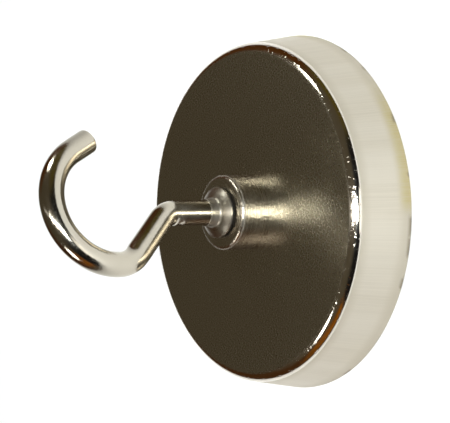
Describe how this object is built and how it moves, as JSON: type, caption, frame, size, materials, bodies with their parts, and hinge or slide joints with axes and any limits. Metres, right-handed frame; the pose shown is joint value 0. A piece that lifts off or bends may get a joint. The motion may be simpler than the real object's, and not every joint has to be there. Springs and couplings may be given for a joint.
{
  "type": "hook magnet",
  "caption": "Flared round pot magnet for magnet fishing, with a threaded boss on its back and an open wire hook screwed into it.",
  "frame": {"origin": "centre of the working face, on the plane that the pot's rim rests on", "axes": "+Z along the magnet's axis from the working face to the hook; the hook is bent in the XZ plane with its tip on +X"},
  "size_m": [0.0748, 0.0748, 0.0613],
  "materials": {
    "pot_nickel": "satin nickel plate with fine draw lines",
    "boss_nickel": "turned and nickel plated",
    "hook_chrome": "bright plated wire",
    "collar_nickel": "satin plated",
    "washer_dark": "dull black fibre",
    "magnet_nickel": "nickel-plated sintered magnet",
    "resin_black": "cast epoxy",
    "ring_plastic": "moulded",
    "sleeve_brass": "plain brass",
    "bond_amber": "cured adhesive"
  },
  "bodies": {
    "magnet": {"pot_shell": "pot_nickel", "ring_magnet": "magnet_nickel", "magnet_bond": "bond_amber", "centring_ring": "ring_plastic", "rim_potting": "resin_black", "threaded_boss": "boss_nickel", "bore_sleeve": "sleeve_brass", "thread_stop_disc": "ring_plastic", "centre_potting": "resin_black"},
    "washer": {"lock_washer": "washer_dark"},
    "hook": {"hook_collar": "collar_nickel", "hook": "hook_chrome"}
  },
  "joints": [
    {"name": "hook_lift", "type": "slide", "parent": "magnet", "child": "washer", "axis": [0, 0, 1], "range_m": [0, 0.01]},
    {"name": "hook_turn", "type": "hinge", "parent": "washer", "child": "hook", "pos_m": [0, 0, 0.02], "axis": [0, 0, 1], "range_deg": [0, 3600]}
  ],
  "couplings": [
    {"joint": "hook_lift", "follows": "hook_turn", "m_per_rad": 0.00015915}
  ]
}
